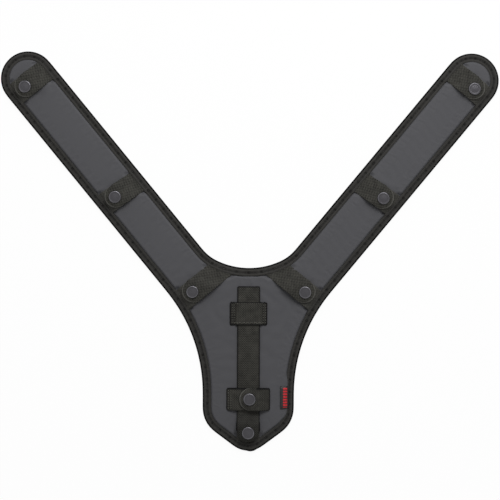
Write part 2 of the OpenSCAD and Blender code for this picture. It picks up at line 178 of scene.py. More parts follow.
cloth = dict(
    faceColour="4d4d50", faceShade="47474a", faceGrain=0.5, faceClouds=26,
    # the light and the near-black webbing colours after webShade are painted sheen and painted shade
    webColour="484742", webShade="080807", sheenPaintColour="5c5b57", shadePaintColour="040404", webCell=1.2,
    pickPitch=2.6, webWear=170,
    # the tape's darkest colour paints the shade at its fold, groove and puckers and the shadow at
    # its inner edge
    tapeColour="3c3b39", tapeShadePaint="020202", tapeHalf=12, ribPitch=1.6, puckerPitch=12.7,
    liningColour="2a2a2c", holeColour="0c0c0d", holePitch=2.4,
    # the heavy thread's light colour paints the highlights on black thread
    threadColour="141312", highlightedHeavyThread="68665e", threadShade="090808", ply=900,
    labelColour="141313", stripeColour="c8202a", stripeShade="9c1a20", stripeHalf=10.6,
    barPitch=2.9, weftPitch=0.8)
# the caps' lighter rim colour is a painted highlight
metal = dict(cap="414043", capRimHighlight="666569", capSpan=8, glintPatches=160, snap="333336",
             spring="8a8a8e", grain=700)


def newMaterial(name, colour, roughness, specular, metallic=0):
    material = bpy.data.materials.new(name)
    material.use_nodes = True
    tree = material.node_tree
    shader = tree.nodes["Principled BSDF"]
    setInputs(shader, {"Base Color": colour, "Roughness": roughness,
                       "Specular IOR Level": specular, "Metallic": metallic})
    return material, tree, shader


def wave(tree, distance, pitch, shape="SINE"):  # -1 to 1 and back in every pitch
    turn = addNode(tree, "Math", {0: distance, 1: 2 * pi / pitch}, operation="MULTIPLY")
    return addNode(tree, "Math", {0: turn}, operation=shape)


def chequer(tree, place, cell):  # soft squares, high and low by turns
    return addNode(tree, "Math", {
        0: wave(tree, place.outputs["X"], 2 * cell),
        1: wave(tree, place.outputs["Y"], 2 * cell)}, operation="MULTIPLY")


def coatedPolyester():
    # polyester with a matte coat, laminated to foam: even and dark, with a dull fine grain and
    # faint clouds
    material, tree, shader = newMaterial("coatedPolyester", cloth["faceColour"], 0.65, 0.2)
    place = addNode(tree, "TexCoord").outputs["Object"]
    cloud = addNode(tree, "TexNoise", {
        "Vector": place, "Scale": cloth["faceClouds"], "Detail": 3})
    grain = addNode(tree, "TexNoise", {
        "Vector": place, "Scale": 500 / cloth["faceGrain"], "Detail": 2})
    tone = addNode(tree, "Math", {0: grain, 1: 0.45, 2: 0.28}, operation="MULTIPLY_ADD")
    tone = addNode(tree, "Math", {0: cloud, 1: 0.5, 2: tone}, operation="MULTIPLY_ADD")
    colour = addNode(tree, "Mix", {
        0: tone, 6: cloth["faceShade"], 7: cloth["faceColour"]}, data_type="RGBA")
    relief = addNode(tree, "Bump", {"Height": grain, "Strength": 0.2, "Distance": 0.0002})
    setInputs(shader, {"Base Color": colour, "Normal": relief})
    return material


def wovenPolyester():
    # polyester webbing in a basket weave: staggered small blocks with dark gaps, and faint ribs
    # across it. A real block is about 1.1 mm; it is drawn as 1.2 mm, as coarse as it needs to show.
    # The attribute read below is 1 where a painted sheen lightens the colour and -1 where painted
    # shade darkens it
    material, tree, shader = newMaterial("wovenPolyester", cloth["webColour"], 0.6, 0.1)
    uv = addNode(tree, "SeparateXYZ", {0: addNode(tree, "UVMap")})
    block = addNode(tree, "MapRange", {
        "Value": chequer(tree, uv, cloth["webCell"]), "From Min": -0.55, "From Max": 0.55,
        "To Min": -1}, interpolation_type="SMOOTHSTEP")
    pick = wave(tree, uv.outputs["Y"], cloth["pickPitch"])
    lift = addNode(tree, "Math", {0: block, 1: 0.24, 2: 0.5}, operation="MULTIPLY_ADD")
    lift = addNode(tree, "Math", {0: pick, 1: 0.06, 2: lift}, operation="MULTIPLY_ADD")
    place = addNode(tree, "TexCoord").outputs["Object"]
    wear = addNode(tree, "TexNoise", {"Vector": place, "Scale": cloth["webWear"], "Detail": 3})
    tone = addNode(tree, "Math", {0: lift, 1: 1.1, 2: -0.42}, operation="MULTIPLY_ADD")
    tone = addNode(tree, "Math", {0: wear, 1: 0.7, 2: tone}, operation="MULTIPLY_ADD")
    colour = addNode(tree, "Mix", {
        0: tone, 6: cloth["webShade"], 7: cloth["webColour"]}, data_type="RGBA")
    paintedShading = addNode(tree, "Attribute", attribute_name="paintedShading").outputs["Fac"]
    # mixes in the painted sheen towards 1 and the painted shade towards -1
    for end, finish in ((1, "sheenPaintColour"), (-1, "shadePaintColour")):
        part = addNode(tree, "MapRange", {"Value": paintedShading, "From Max": end})
        colour = addNode(tree, "Mix", {0: part, 6: colour, 7: cloth[finish]}, data_type="RGBA")
    relief = addNode(tree, "Bump", {"Height": lift, "Strength": 0.7, "Distance": 0.0004})
    setInputs(shader, {"Base Color": colour, "Normal": relief})
    return material


def grosgrainTape():
    # ribbed polyester tape folded over the edge, with its light and shade painted across it: painted
    # shade makes it nearly black at the fold and dark in the stitched groove, most at the even steps
    # where it is pulled in, the flat leaf and the lines by its inner edge are painted lighter as
    # highlights, stretched noise paints the shading of small creases, and a painted shadow darkens
    # the edge beside the face
    material, tree, shader = newMaterial("grosgrainTape", cloth["tapeColour"], 0.8, 0.05)
    uv = addNode(tree, "SeparateXYZ", {0: addNode(tree, "UVMap")})
    run, width = uv.outputs["X"], uv.outputs["Y"]
    rib = wave(tree, run, cloth["ribPitch"])
    share = addNode(tree, "Math", {0: width}, operation="ABSOLUTE")
    share = addNode(tree, "Math", {0: share, 1: 1 / cloth["tapeHalf"]}, operation="MULTIPLY")
    # painted light and shade across the tape, from the fold inwards
    lit = addNode(tree, "ValToRGB", {0: share}, stops=(
        (0, 0), (0.205, 0), (0.25, 1.1), (0.29, 1.05), (0.42, 0.78), (0.52, 0.6),
        (0.57, 0.58), (0.65, 0.82), (0.70, 1.2), (0.745, 0.68), (0.79, 1.2), (0.84, 0.65),
        (0.875, 0.05)))
    pull = addNode(tree, "MapRange", {
        "Value": wave(tree, run, cloth["puckerPitch"], "COSINE"), "From Min": 0.55,
        "From Max": 1}, interpolation_type="SMOOTHSTEP")
    groove = addNode(tree, "ValToRGB", {0: share}, stops=(
        (0.36, 0), (0.46, 1), (0.60, 1), (0.66, 0)))
    # painted shade in the groove at each pucker
    puckerShade = addNode(tree, "Math", {0: pull, 1: groove}, operation="MULTIPLY")
    puckerShade = addNode(tree, "Math", {0: puckerShade, 1: -0.5, 2: 1}, operation="MULTIPLY_ADD")
    stretched = addNode(tree, "CombineXYZ", {
        "X": addNode(tree, "Math", {0: run, 1: 0.5}, operation="MULTIPLY"),
        "Y": addNode(tree, "Math", {0: width, 1: 0.12}, operation="MULTIPLY")})
    crease = addNode(tree, "TexNoise", {"Vector": stretched, "Scale": 1, "Detail": 3})
    level = addNode(tree, "Math", {0: crease, 1: 0.9, 2: 0.52}, operation="MULTIPLY_ADD")
    for part in (lit, puckerShade):
        level = addNode(tree, "Math", {0: level, 1: part}, operation="MULTIPLY")
    colour = addNode(tree, "Mix", {
        0: level, 6: cloth["tapeShadePaint"], 7: cloth["tapeColour"]}, data_type="RGBA")
    height = addNode(tree, "Math", {0: crease, 1: 2, 2: rib}, operation="MULTIPLY_ADD")
    relief = addNode(tree, "Bump", {"Height": height, "Strength": 0.4, "Distance": 0.0002})
    setInputs(shader, {"Base Color": colour, "Normal": relief})
    return material


def spacerKnit():
    # knitted lining: a dark ground with staggered small round holes
    material, tree, shader = newMaterial("spacerKnit", cloth["liningColour"], 0.85, 0.2)
    place = addNode(tree, "TexCoord").outputs["Object"]
    place = addNode(tree, "SeparateXYZ", {0: place})
    hole = addNode(tree, "MapRange", {
        "Value": chequer(tree, place, cloth["holePitch"] * mm), "From Min": 0.45,
        "From Max": 0.75}, interpolation_type="SMOOTHSTEP")
    colour = addNode(tree, "Mix", {
        0: hole, 6: cloth["liningColour"], 7: cloth["holeColour"]}, data_type="RGBA")
    relief = addNode(tree, "Bump", {
        "Height": hole, "Strength": 0.8, "Distance": 0.0006}, invert=True)
    setInputs(shader, {"Base Color": colour, "Normal": relief})
    return material


def bondedThread(name, colour):
    # twisted polyester thread, bonded: dark with a slight shine along its ply
    material, tree, shader = newMaterial(name, colour, 0.45, 0.35)
    place = addNode(tree, "TexCoord").outputs["Object"]
    ply = addNode(tree, "TexNoise", {"Vector": place, "Scale": cloth["ply"], "Detail": 1})
    setInputs(shader, {"Base Color": addNode(tree, "Mix", {
        0: ply, 6: cloth["threadShade"], 7: colour}, data_type="RGBA")})
    return material


def satinRibbon():
    # woven satin ribbon: smooth black with a plain row of red bars woven down it
    material, tree, shader = newMaterial("satinRibbon", cloth["labelColour"], 0.45, 0.3)
    uv = addNode(tree, "SeparateXYZ", {0: addNode(tree, "UVMap")})
    run = uv.outputs["Y"]
    share = addNode(tree, "Math", {0: uv.outputs["X"], 1: 0.1, 2: 0.5}, operation="MULTIPLY_ADD")
    stripe = addNode(tree, "ValToRGB", {0: share}, stops=(
        (0, 0), (0.33, 0), (0.36, 1), (0.77, 1), (0.80, 0)))
    weft = wave(tree, run, cloth["weftPitch"])
    bar = addNode(tree, "MapRange", {
        "Value": wave(tree, run, cloth["barPitch"]), "From Min": -0.75, "From Max": -0.05})
    end = addNode(tree, "Math", {0: run}, operation="ABSOLUTE")
    end = addNode(tree, "Math", {0: end, 1: cloth["stripeHalf"]}, operation="LESS_THAN")
    for part in (bar, end):
        stripe = addNode(tree, "Math", {0: stripe, 1: part}, operation="MULTIPLY")
    red = addNode(tree, "Mix", {
        0: weft, 6: cloth["stripeColour"], 7: cloth["stripeShade"]}, data_type="RGBA")
    colour = addNode(tree, "Mix", {0: stripe, 6: cloth["labelColour"], 7: red}, data_type="RGBA")
    relief = addNode(tree, "Bump", {"Height": weft, "Strength": 0.3, "Distance": 0.0001})
    setInputs(shader, {"Base Color": colour, "Normal": relief})
    return material


def lacqueredBrass(name, colour, roughness, metallic, rimHighlight=None):
    # snap parts drawn from brass sheet, blackened and lacquered: satin, with a faint drawn grain.
    # On a cap a lighter ring round the rim is a painted highlight, broken up by noise, and the
    # middle is painted a little lighter
    material, tree, shader = newMaterial(name, colour, roughness, 0.5, metallic)
    place = addNode(tree, "TexCoord").outputs["Object"]
    if rimHighlight:
        radius = addNode(tree, "SeparateXYZ", {0: addNode(tree, "UVMap")})
        share = addNode(tree, "Math", {0: radius, 1: 1 / metal["capSpan"]}, operation="MULTIPLY")
        # painted highlight ring on the rim, and a painted lighter middle
        rimGlint = addNode(tree, "ValToRGB", {0: share}, stops=(
            (0, 0.16), (0.45, 0.10), (0.60, 0), (0.66, 0.1), (0.72, 0.85), (0.78, 1),
            (0.82, 0.3), (0.85, 0)))
        glintBreakup = addNode(tree, "TexNoise", {
            "Vector": place, "Scale": metal["glintPatches"], "Detail": 3})
        glintBreakup = addNode(tree, "MapRange", {
            "Value": glintBreakup, "From Min": 0.35, "From Max": 0.65, "To Min": 0.35})
        rimGlint = addNode(tree, "Math", {0: rimGlint, 1: glintBreakup}, operation="MULTIPLY")
        setInputs(shader, {"Base Color": addNode(tree, "Mix", {
            0: rimGlint, 6: colour, 7: rimHighlight}, data_type="RGBA")})
    grain = addNode(tree, "TexNoise", {"Vector": place, "Scale": metal["grain"], "Detail": 2})
    rough = addNode(tree, "Math", {
        0: grain, 1: 0.16, 2: roughness - 0.08}, operation="MULTIPLY_ADD")
    relief = addNode(tree, "Bump", {"Height": grain, "Strength": 0.06, "Distance": 0.0001})
    setInputs(shader, {"Roughness": rough, "Normal": relief})
    return material


faceCloth = coatedPolyester()
webbing = wovenPolyester()
tape = grosgrainTape()
knit = spacerKnit()
blackThread = bondedThread("bondedThread", cloth["threadColour"])
# the heavy thread is drawn light: painted highlights on black thread
highlightedHeavyThread = bondedThread("heavyThreadPaintedHighlight", cloth["highlightedHeavyThread"])
ribbon = satinRibbon()
# the caps' lighter rim ring is a painted highlight
capMetal = lacqueredBrass("gunmetalCap", metal["cap"], 0.28, 0.9, metal["capRimHighlight"])
snapMetal = lacqueredBrass("blackSnap", metal["snap"], 0.42, 0.8)
springWire = lacqueredBrass("springWire", metal["spring"], 0.3, 1)
print("materials made")

# outline of the pad, read from the bound edge of the solid, and the tape's leaf on the face

outline = dict(step=1.2, smoothing=8, levelGap=0.02)
leaf = dict(width=9.1, back=2.1, reach=16, fade=10)  # back: how much less of it beside the label


def railLoop(node, height):  # longest closed loop of the node's edges at that height
    mesh = frame["nodes"][node].data
    links = {}
    keys = [tuple(round(c * 1e6) for c in v.co) for v in mesh.vertices]
    for edge in mesh.edges:
        a, b = (keys[i] for i in edge.vertices)
        if a != b and all(abs(end[2] * 1e-6 - height) < outline["levelGap"] * mm for end in (a, b)):
            links.setdefault(a, set()).add(b)
            links.setdefault(b, set()).add(a)
    loops = []
    while links:
        start = next(iter(links))
        loop, here = [start], start
        while links.get(here):
            after = links[here].pop()
            links[after].discard(here)
            if after == start:
                break
            loop.append(after)
            here = after
        for key in loop:
            if not links.get(key):
                links.pop(key, None)
        loops.append(np.array(loop, float)[:, :2] * 1e-6)
    return max(loops, key=lambda p: norm(p - np.roll(p, 1, 0), axis=1).sum())


def evenly(points, step):  # resamples a closed loop at an even spacing
    closed = np.vstack([points, points[:1]])
    run = np.cumsum([0, *norm(np.diff(closed, axis=0), axis=1)])
    count = int(round(run[-1] / step))
    at = np.arange(count) * run[-1] / count
    return np.stack([np.interp(at, run, closed[:, i]) for i in (0, 1)], 1)


def soften(points, times):
    for _ in range(times):
        points = points * 0.5 + (np.roll(points, 1, 0) + np.roll(points, -1, 0)) * 0.25
    return points


bindLow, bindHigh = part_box("edge_binding")
rim = evenly(railLoop("edge_binding", (bindLow.z + bindHigh.z) / 2), outline["step"] * mm)
area = 0.5 * np.sum(rim[:, 0] * np.roll(rim[:, 1], -1) - rim[:, 1] * np.roll(rim[:, 0], -1))
if area < 0:
    rim = rim[::-1]
rim = np.roll(rim, -int(np.argmin(rim[:, 1])), axis=0)  # starts at the bottom tip
rim = soften(rim, outline["smoothing"])
along = np.roll(rim, -1, 0) - np.roll(rim, 1, 0)
along /= norm(along, axis=1)[:, None]
inward = np.stack([-along[:, 1], along[:, 0]], 1)
rimStep = norm(rim - np.roll(rim, 1, 0), axis=1).mean()
rimRun = np.arange(len(rim)) * rimStep / mm  # distance round the edge in mm
rimTree = kdtree.KDTree(len(rim))
for i, point in enumerate(rim):
    rimTree.insert((point[0], point[1], 0), i)
rimTree.balance()


def insetRow(depth):
    return rim + inward * depth


def edgeDistance(x, y):
    return rimTree.find((x, y, 0))[2]


def clamp(share):
    return min(max(share, 0), 1)


def ease(share):
    share = clamp(share)
    return share * share * (3 - 2 * share)


def centreOf(node):
    low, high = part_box(node)
    return Vector(((low.x + high.x) / 2, (low.y + high.y) / 2))


labelLow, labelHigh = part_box("edge_label")
labelMid = Vector((labelHigh.x, centreOf("edge_label").y))


def leafBack(x, y):  # the leaf ends nearer the edge beside the label; in mm
    away = (Vector((x, y)) - labelMid).length / mm
    return leaf["back"] * (1 - ease((away - leaf["reach"]) / leaf["fade"]))


print("outline read:", len(rim), "points,", round(len(rim) * rimStep, 3), "m round")

# builders: any mesh, a closed strip of cloth, thread

edgeBulge = 0.28  # how far a rounded edge of webbing stands out, as a share of its thickness
thread = inMm(seamRadius=0.24, boxRadius=0.36, boxPitch=2.6, topPitch=2)
stitchForm = dict(sides=6, rings=(0, 0.12, 0.35, 0.65, 0.88, 1), arch=1.6, sunk=0.9, end=0.35)


def addObject(name, verts, faces, material, uvs=None):
    mesh = bpy.data.meshes.new(name)
    mesh.from_pydata([tuple(v) for v in verts], [], [tuple(f) for f in faces])
    mesh.validate()
    mesh.materials.append(material)
    mesh.polygons.foreach_set("use_smooth", [True] * len(mesh.polygons))
    if uvs is not None:
        uvMap = mesh.uv_layers.new(name="UVMap")
        index = np.empty(len(mesh.loops), int)
        mesh.loops.foreach_get("vertex_index", index)
        uvMap.data.foreach_set("uv", np.asarray(uvs, np.float32)[index].ravel())
    return newObject(name, mesh)


def gridFaces(rows, cols, start, flip):
    faces = []
    for i in range(rows - 1):
        for j in range(cols - 1):
            a = start + i * cols + j
            quad = (a, a + 1, a + 1 + cols, a + cols)
            faces.append(quad[::-1] if flip else quad)
    return faces


def clothStrip(name, top, uv, thickness, material, paintedShading=None):
    # closed strip of cloth: upper and lower surface with a rounded edge between them
    rows, cols = top.shape[:2]
    normal = np.cross(np.gradient(top, axis=1), np.gradient(top, axis=0))
    normal /= norm(normal, axis=2)[:, :, None] + 1e-12
    if normal[..., 2].mean() < 0:
        normal = -normal
    low = top - normal * thickness
    i, j = np.array([(0, j) for j in range(cols)] + [(i, cols - 1) for i in range(1, rows)]
                    + [(rows - 1, j) for j in range(cols - 2, -1, -1)]
                    + [(i, 0) for i in range(rows - 2, 0, -1)]).T  # round its border
    flat, under, centre = top[i, j], low[i, j], top.mean(axis=(0, 1))
    out = np.cross(np.roll(flat, -1, 0) - np.roll(flat, 1, 0), normal[i, j])
    ring = (flat + under) / 2 + out / norm(out, axis=1)[:, None] * thickness * edgeBulge
    if norm(ring - centre, axis=1).mean() < norm(flat - centre, axis=1).mean():
        ring = flat + under - ring
    size, count, border = rows * cols, len(i), (i * cols + j).tolist()
    up = np.cross(top[0, 1] - top[0, 0], top[1, 0] - top[0, 0])[2] > 0
    faces = gridFaces(rows, cols, 0, flip=not up) + gridFaces(rows, cols, size, flip=up)
    for k in range(count):
        after = (k + 1) % count
        a, b, c, d = border[k], border[after], 2 * size + k, 2 * size + after
        for quad in ((a, c, d, b), (c, size + a, size + b, d)):
            faces.append(quad if up else quad[::-1])
    item = addObject(name, np.vstack([top.reshape(-1, 3), low.reshape(-1, 3), ring]), faces,
                     material, np.vstack([uv.reshape(-1, 2), uv.reshape(-1, 2), uv[i, j]]))
    if paintedShading is not None:
        mask = np.concatenate([paintedShading.ravel(), paintedShading.ravel() * 0, paintedShading[i, j]])
        marks = item.data.attributes.new("paintedShading", "FLOAT", "POINT")
        marks.data.foreach_set("value", mask.astype(np.float32))
    return item


def stitches(name, runs, material, radius):
    # each run is a list of (start, end, normal); every stitch is a short arched length of thread
    verts, faces = [], []
    sides, shares = stitchForm["sides"], stitchForm["rings"]
    for start, end, up in runs:
        start, end, up = Vector(start), Vector(end), Vector(up).normalized()
        run = end - start
        side = run.cross(up).normalized()
        base = len(verts)
        for share in shares:
            taper = sin(pi * min(max(share, 0.06), 0.94)) ** 0.5
            swell = radius * (stitchForm["end"] + (1 - stitchForm["end"]) * taper)
            arch = radius * (stitchForm["arch"] * sin(pi * share) - stitchForm["sunk"])
            middle = start + run * share + up * arch
            for k in range(sides):
                a = 2 * pi * k / sides
                verts.append(middle + side * (swell * cos(a)) + up * (swell * sin(a)))
        for i in range(len(shares) - 1):
            for k in range(sides):
                a, b = base + i * sides + k, base + i * sides + (k + 1) % sides
                faces.append((a, a + sides, b + sides, b))
        faces.append(tuple(base + k for k in range(sides)))
        faces.append(tuple(base + (len(shares) - 1) * sides + k for k in reversed(range(sides))))
    return addObject(name, verts, faces, material)


def finishPiece(item, body, slotName, *nodes):
    if body:
        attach(item, body)
    if nodes:
        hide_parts(*nodes)


# padding: face cloth over foam, and the knitted lining below

pad = dict(
    grid=4.2, rimRows=(2.6, 5.5, 6.6, 7.4, 8.4, 9, 9.6, 10.3, 11.2, 12.6, 14.6, 17.4),
    rimDrop=0.7, tucked=8.2, tuckedDrop=0.35,  # level in under the tape, then it rolls up
    rollStart=8.8, rollWidth=1.9, crown=0.5, crownStart=9, crownWidth=20,
    pressed=3.2, pressedStart=10.5, pressedWidth=5,  # lower under and beside webbing
    wave=0.2, waveSize=70, waveStart=12, waveLow=0.3)
layer = inMm(grid=9, faceLow=0.95, liningHigh=0.8, liningLift=1, flatStart=8, flatFade=6,
             rimLift=0.95, rimLiftWidth=12)  # both layers lift towards the bound edge
trial = dict(
    frames=24, gravity=0.2, pinned=8.7, hold=0.25, keeperHold=0.5, keeperDepth=18, keeperSide=5,
    limit=0.9, fabric=dict(
        quality=4, mass=0.12, tension_stiffness=12, compression_stiffness=12,
        bending_stiffness=0.4, shrink_min=-0.005, shrink_max=-0.005, vertex_group_mass="held",
        pin_stiffness=1.5, use_pressure=True, uniform_pressure_force=0.15))
bed = inMm(half=24, past=4, gap=0.1, openGap=0.5)  # room that the face leaves under the strap
pressing = inMm(half=12.9, reach=60)  # the webbing that presses on padding and tape
keeperTurn = dict(tip=140.5, mid=144.5, base=140.5)  # the way each arm's keepers run, degrees
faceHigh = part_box("face_fabric")[1].z
rimTop = bindHigh.z - pad["rimDrop"] * mm
down = Vector((0, -1))

keepers = {}  # each arm keeper's snap and the way its webbing runs, from its root outwards
for side, sign in (("left", -1), ("right", 1)):
    for k, turn in keeperTurn.items():
        run = Vector((-sign * cos(radians(turn)), -sin(radians(turn))))
        keepers[f"{side}_{k}"] = centreOf(f"cap_{side}_{k}"), run
snapLines = [*keepers.values(), (centreOf("cap_tail"), down)]  # for what their webbing presses on


def underWebbing(x, y, spare):  # 1 below a keeper's webbing, falling to 0 beside it
    best = 0
    for snap, run in snapLines:
        offset = Vector((x, y)) - snap
        if abs(offset.dot(run)) < pressing["reach"]:
            v = abs(offset.dot(run.orthogonal()))
            best = max(best, 1 - ease((v - pressing["half"]) / spare))
    return best


def padDepth(x, y):  # from the edge in mm, as the tape's leaf makes it
    return edgeDistance(x, y) / mm + leafBack(x, y)


def padTop(x, y):
    depth = padDepth(x, y)
    if depth < pad["tucked"]:
        return rimTop - pad["tuckedDrop"] * mm
    crown, size = pad["crown"] * mm, pad["waveSize"] * mm
    roll = clamp((depth - pad["rollStart"]) / pad["rollWidth"])
    swell = clamp((depth - pad["crownStart"]) / pad["crownWidth"])
    puffed = rimTop + (faceHigh - crown - rimTop) * sin(pi / 2 * roll)
    puffed += crown * sin(pi / 2 * swell)
    share = ease((depth - pad["pressedStart"]) / pad["pressedWidth"])
    pressed = min(rimTop + (faceHigh - rimTop) * share, puffed)
    height = puffed + (pressed - puffed) * underWebbing(x, y, pad["pressed"] * mm)
    sway = noise.noise(Vector((x / size, y / size, 0.3))) - pad["waveLow"]
    return height + pad["wave"] * mm * ease((depth - pad["waveStart"]) / pad["waveStart"]) * sway


def rimLift(x, y):
    return layer["rimLift"] * max(0, 1 - edgeDistance(x, y) / layer["rimLiftWidth"])


def liningBottom(x, y):
    past = max(0, edgeDistance(x, y) - layer["flatStart"])
    return layer["liningLift"] * max(0, 1 - past / layer["flatFade"])


def fillOutline(rows, spacing):  # points and triangles inside the outline, rows along its edge
    ring = len(rim)
    points = [Vector(p) for row in rows for p in insetRow(row * mm)]
    limit = rows[-1] * mm + 0.55 * spacing
    inside = insetRow(rows[-1] * mm)
    y, highY = rim[:, 1].min(), rim[:, 1].max()
    odd = 0
    while y < highY:
        crossing = []
        for (ax, ay), (bx, by) in zip(inside, np.roll(inside, -1, 0)):
            if (ay > y) != (by > y):
                crossing.append(ax + (y - ay) / (by - ay) * (bx - ax))
        crossing.sort()
        for left, right in zip(crossing[::2], crossing[1::2]):
            count = int((right - left) / spacing)
            for i in range(1, count):
                x = left + (right - left) * (i + 0.5 * odd) / count
                if edgeDistance(x, y) > limit:
                    points.append(Vector((x, y)))
        y += spacing * 0.87
        odd = 1 - odd
    edges = [(i, (i + 1) % ring) for i in range(ring)]
    found, _, triangles, *_ = delaunay_2d_cdt(points, edges, [], 1, 1e-7)
    return found, triangles


def settle(points, triangles, held):
    # the face cloth, cut a little large, is pinned at the bound edge and pulled down to the foam
    mesh = bpy.data.meshes.new("clothTrial")
    mesh.from_pydata(points, [], triangles)
    if mesh.polygons[0].normal.z < 0:
        mesh.flip_normals()
    item = newObject("clothTrial", mesh)
    group = item.vertex_groups.new(name="held")
    for index, weight in enumerate(held):
        group.add([index], weight, "REPLACE")
    fabric = item.modifiers.new("cloth", "CLOTH")
    for key, value in trial["fabric"].items():
        setattr(fabric.settings, key, value)
    fabric.settings.effector_weights.gravity = trial["gravity"]
    fabric.collision_settings.use_collision = False
    fabric.point_cache.frame_end = trial["frames"]
    for step in range(1, trial["frames"] + 1):
        bpy.context.scene.frame_set(step)
    done = item.evaluated_get(bpy.context.evaluated_depsgraph_get())
    settled = [v.co.copy() for v in done.data.vertices]
    bpy.context.scene.frame_set(1)
    bpy.data.objects.remove(item)
    bpy.data.meshes.remove(mesh)
    return settled


def strapFloor(x, y):  # the underside of what lies flat on the face
    low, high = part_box("centre_strap")
    onStrap = abs(x) < bed["half"] and y < high.y + bed["past"]
    return low.z - bed["gap"] if onStrap else low.z + bed["openGap"]


def simulatedTop(found, triangles, topHeight):  # the trial's heights, kept close to those drawn
    start = [Vector((p.x, p.y, topHeight(p.x, p.y))) for p in found]
    held = []
    for p in start:
        depth = padDepth(p.x, p.y)
        near = depth < trial["keeperDepth"]
        pressed = underWebbing(p.x, p.y, trial["keeperSide"] * mm) if near else 0
        pinned = depth < trial["pinned"]
        held.append(1 if pinned else trial["hold"] + trial["keeperHold"] * pressed)
    heights, largest, limit = [], 0, trial["limit"] * mm
    for before, after in zip(start, settle(start, triangles, held)):
        move = after.z - before.z
        largest = max(largest, abs(move))
        height = before.z + min(max(move, -limit), limit)
        heights.append(min(height, strapFloor(before.x, before.y)))
    print("cloth settled: largest move", round(largest / mm, 2), "mm")
    return heights


def padShell(name, rows, spacing, topHeight, lowHeight, material, simulated=False):
    found, triangles = fillOutline(rows, spacing)
    count = len(found)
    tops = (simulatedTop(found, triangles, topHeight) if simulated
            else [topHeight(p.x, p.y) for p in found])
    verts = [(p.x, p.y, z) for p, z in zip(found, tops)]
    verts += [(p.x, p.y, lowHeight(p.x, p.y)) for p in found]
    faces, uses = [], {}
    for a, b, c in triangles:
        up = (found[b] - found[a]).cross(found[c] - found[a]) > 0
        a, b, c = (a, b, c) if up else (a, c, b)
        faces += [(a, b, c), (a + count, c + count, b + count)]
        for edge in ((a, b), (b, c), (c, a)):
            uses[edge] = True
    for a, b in uses:
        if (b, a) not in uses:
            faces.append((a, a + count, b + count, b))
    return addObject(name, verts, faces, material)


padFace = padShell("padFace", pad["rimRows"], pad["grid"] * mm, padTop,
                   lambda x, y: layer["faceLow"] + rimLift(x, y), faceCloth, simulated=True)
finishPiece(padFace, "root", "coated_fabric", "face_fabric", "foam_core")

padLining = padShell("padLining", (2.6, 6, 9, 12, 15.5), layer["grid"],
                     lambda x, y: layer["liningHigh"] + rimLift(x, y), liningBottom, knit)
finishPiece(padLining, "root", "lining_mesh", "lining")
print("padding made:", len(padFace.data.vertices), "points")

# keepers and straps of one webbing: where each lies, from the frame

web = inMm(
    width=25, thick=1.4, tuck=3.2,  # tuck: how far it goes in under the binding
    tabPast=11, flapPast=11.2, tailPast=9.2,  # how far each reaches past its snap
    flapLevel=7, tailLevel=6.5, tabLevel=8, tabCurl=0.7,  # level so far round its snap
    edge=0.8, edgeDrop=0.25, droop=1.35, droopStart=7, droopWidth=5, endStart=6, endWidth=9,
    ripple=0.12, seam=8.7, tabIn=5.6)  # in from the edge: the binding's seam and the tab's own end
rootSlope, ripplesPerMetre = 0.28, 60
thick = web["thick"]
halfWeb = web["width"] / 2 - edgeBulge * thick
tabEnd = web["tabPast"] - edgeBulge * thick
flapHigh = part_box("flap_right_tip")[1].z
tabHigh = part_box("tab_right_tip")[1].z
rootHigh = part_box("flap_right_tip")[0].z + thick


def foldOf(joint, snap):  # a point on the fold line, the level way to the snap, how far that is
    place, axis = (Vector(joints[joint][key]) for key in ("pos_m", "axis"))
    into = Vector((-axis.y, axis.x))
    if into.dot(snap - place.xy) < 0:
        into = -into
    return place, into, into.dot(snap - place.xy)


def roundEnd(v, past):  # a half-round end that reaches so far past the snap
    centre = halfWeb - past + edgeBulge * thick
    return -centre + sqrt(max(halfWeb ** 2 - v * v, 0))


def corner(v, radius):  # how far a rounded corner sets the end back, v from the middle line
    over = max(0, abs(v) - (halfWeb - radius))
    return radius - sqrt(max(radius ** 2 - over ** 2, 0))


def strip(name, origin, run, startAt, endAt, height, rows=30, cols=15, edges=(0, 0, 1),
          shade=lambda u, v: 0):
    # webbing from startAt(v) to endAt(v) along run, v being the distance across it from its
    # middle line; edges says how much light or shade is painted along the sides, the start and the
    # end, from -1 painted shade to 1 a painted sheen as on a heat-cut end, and shade paints
    # stretches of it the same way
    side = run.orthogonal()
    top, uv, paintedShading = np.zeros((rows, cols, 3)), np.zeros((rows, cols, 2)), np.zeros((rows, cols))
    shares = [0, 0.012, *np.linspace(0.03, 0.94, rows - 6), 0.955, 0.968, 0.984, 1]
    for j, v in enumerate(np.sin(np.linspace(-pi / 2, pi / 2, cols)) * halfWeb):
        first, last = startAt(v), endAt(v)
        for i, share in enumerate(shares):
            u = first + (last - first) * share
            p = origin + run * u + side * v
            gaps = (halfWeb - abs(v), u - first, last - u)
            edge = max(0, 1 - gaps[0] / web["edge"], 1 - gaps[2] / web["edge"])
            top[i, j] = (p.x, p.y, height(p, u, v) - web["edgeDrop"] * edge ** 2)
            uv[i, j] = (v / mm, u / mm)
            marks = [mark * clamp(1.75 - gap / web["edge"]) for mark, gap in zip(edges, gaps)]
            paintedShading[i, j] = max(marks + [shade(u, v)], key=abs)
    return clothStrip(name, top, uv, thick, webbing, paintedShading)


def rise(distance, low, high, span):  # height of webbing that lifts from its root towards a snap
    if distance < 0:
        return low + distance * rootSlope
    return low + (high - low) * ease(distance / span)


def pastSnap(p, snap):  # 0 near the snap and 1 well away from it
    return ease(((p - snap).length - web["droopStart"]) / web["droopWidth"])


def droop(p, u, snap):  # webbing sags round its snap, most at the free end
    return web["droop"] * pastSnap(p, snap) * ease((u + web["endStart"]) / web["endWidth"])


